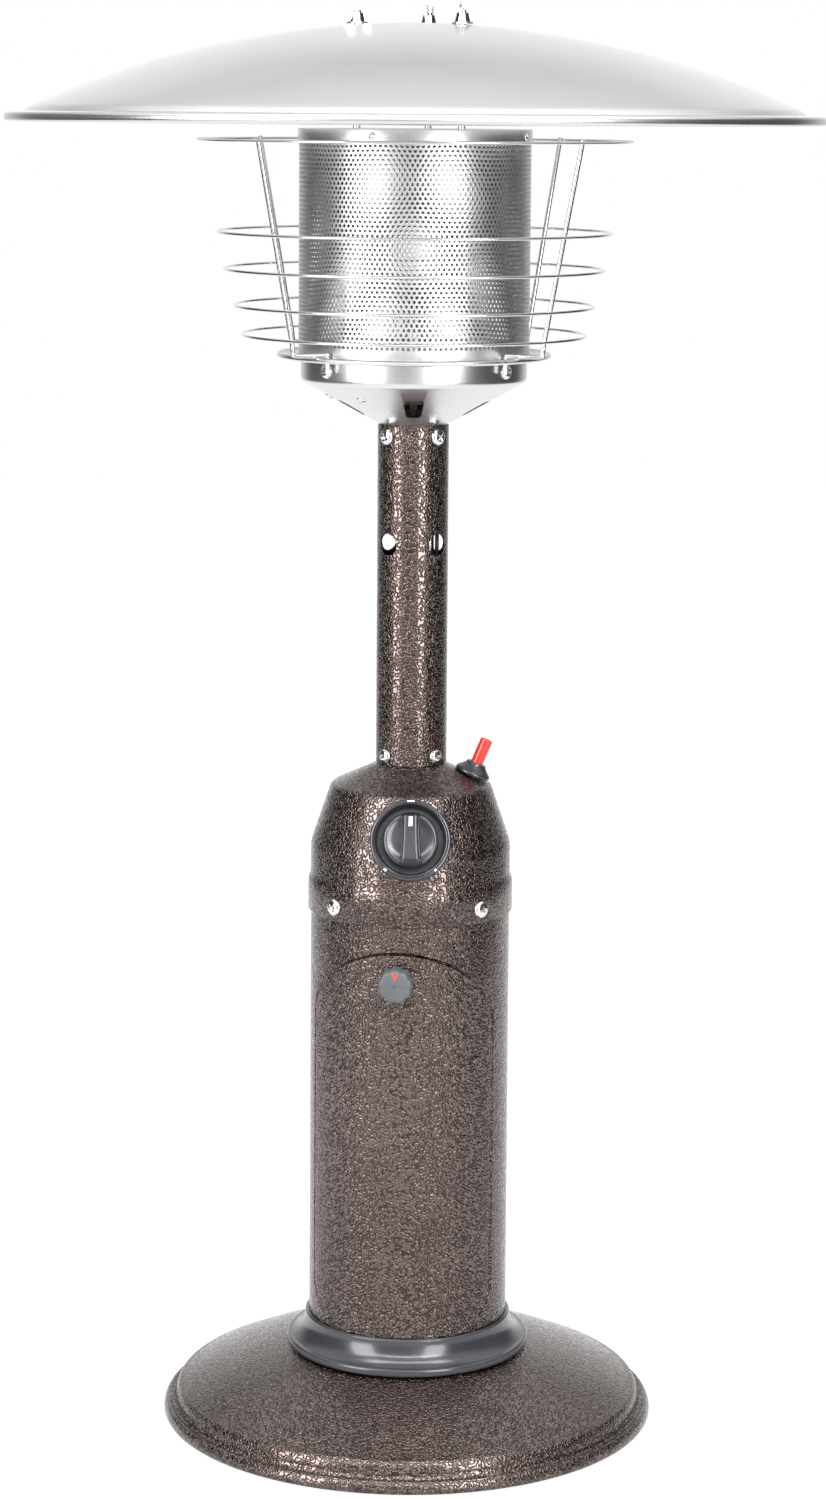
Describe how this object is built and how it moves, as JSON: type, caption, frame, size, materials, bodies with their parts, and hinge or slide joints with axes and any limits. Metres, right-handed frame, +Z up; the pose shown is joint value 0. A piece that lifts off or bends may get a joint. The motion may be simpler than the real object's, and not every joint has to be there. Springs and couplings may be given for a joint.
{
  "type": "outdoor heater",
  "caption": "Tabletop gas patio heater: weighted round base, hammered bronze tank housing with tilting door, control knob, igniter, pole, perforated emitter in a wire guard and round reflector.",
  "frame": {"origin": "centre of the heater on the surface that it stands on", "axes": "+Z up along the pole, -Y towards the front with the control knob, +X to the right seen from the front"},
  "size_m": [0.533, 0.533, 0.9398],
  "materials": {
    "bronze_paint": "hammered, glossy",
    "spun_steel": "spun, satin",
    "screen_steel": "perforated, bright",
    "guard_chrome": "bright plated wire",
    "screw_steel": "bright plated",
    "black_plastic": "satin moulded",
    "knob_plastic": "satin moulded, grey",
    "red_plastic": "glossy moulded",
    "white_mark": "matte",
    "brass": "machined",
    "cast_iron": "rough cast",
    "rubber": "matte"
  },
  "bodies": {
    "stand": {"base_dish": "bronze_paint", "base_weight": "cast_iron", "rubber_feet": "rubber", "base_bolts": "screw_steel", "base_nuts": "screw_steel", "tank_floor": "bronze_paint", "base_collar": "black_plastic", "tank_housing": "bronze_paint", "control_housing": "bronze_paint", "housing_screws": "screw_steel", "valve_shelf": "spun_steel", "control_valve": "brass", "tank_inlet": "brass", "inlet_seal": "rubber", "valve_nut": "brass", "knob_bezel": "black_plastic", "igniter_collar": "black_plastic", "igniter_body": "black_plastic", "igniter_nut": "black_plastic", "tilt_switch": "black_plastic", "pole": "bronze_paint", "pole_bottom_screws": "screw_steel", "pole_top_screws": "screw_steel", "gas_tube": "spun_steel", "igniter_lead": "black_plastic", "thermocouple_lead": "brass", "burner_housing": "spun_steel", "burner_flange": "spun_steel", "drum_screws": "screw_steel", "cone_screws": "screw_steel", "gas_jet": "brass", "venturi_tube": "spun_steel", "burner_pan": "spun_steel", "burner_mesh": "spun_steel", "pilot_assembly": "spun_steel", "emitter_screen": "screen_steel", "emitter_cap": "spun_steel", "cap_screws": "screw_steel", "guard_ring_1": "guard_chrome", "guard_ring_2": "guard_chrome", "guard_ring_3": "guard_chrome", "guard_ring_4": "guard_chrome", "guard_ring_5": "guard_chrome", "guard_legs": "guard_chrome", "reflector_studs": "screw_steel", "stud_nuts": "screw_steel", "reflector": "spun_steel", "stud_washers": "screw_steel", "wing_nuts": "screw_steel"},
    "door": {"access_door": "bronze_paint", "door_tabs": "bronze_paint"},
    "latch": {"door_knob": "knob_plastic", "latch_cam": "screw_steel", "latch_screw": "screw_steel"},
    "plunger": {"valve_plunger": "screw_steel"},
    "knob": {"control_knob": "black_plastic", "knob_pointer": "white_mark"},
    "button": {"igniter_button": "red_plastic"}
  },
  "joints": [
    {"name": "door_tilt", "type": "hinge", "parent": "stand", "child": "door", "pos_m": [-0.00806, -0.06566, 0.0705], "axis": [0.9925, -0.1219, 0], "range_deg": [0, 35]},
    {"name": "latch_turn", "type": "hinge", "parent": "door", "child": "latch", "pos_m": [-0.00819, -0.0667, 0.308], "axis": [-0.1219, -0.9925, 0], "range_deg": [0, 90]},
    {"name": "knob_push", "type": "slide", "parent": "stand", "child": "plunger", "axis": [0, 0.9495, -0.3139], "range_m": [0, 0.003], "stiffness_N_per_m": 1500, "springref_m": -0.002},
    {"name": "knob_turn", "type": "hinge", "parent": "plunger", "child": "knob", "pos_m": [0, -0.06209, 0.401], "axis": [0, -0.9495, 0.3139], "range_deg": [0, 220]},
    {"name": "igniter_push", "type": "slide", "parent": "stand", "child": "button", "axis": [-0.3875, 0, -0.9219], "range_m": [0, 0.005], "stiffness_N_per_m": 600, "springref_m": -0.002}
  ]
}
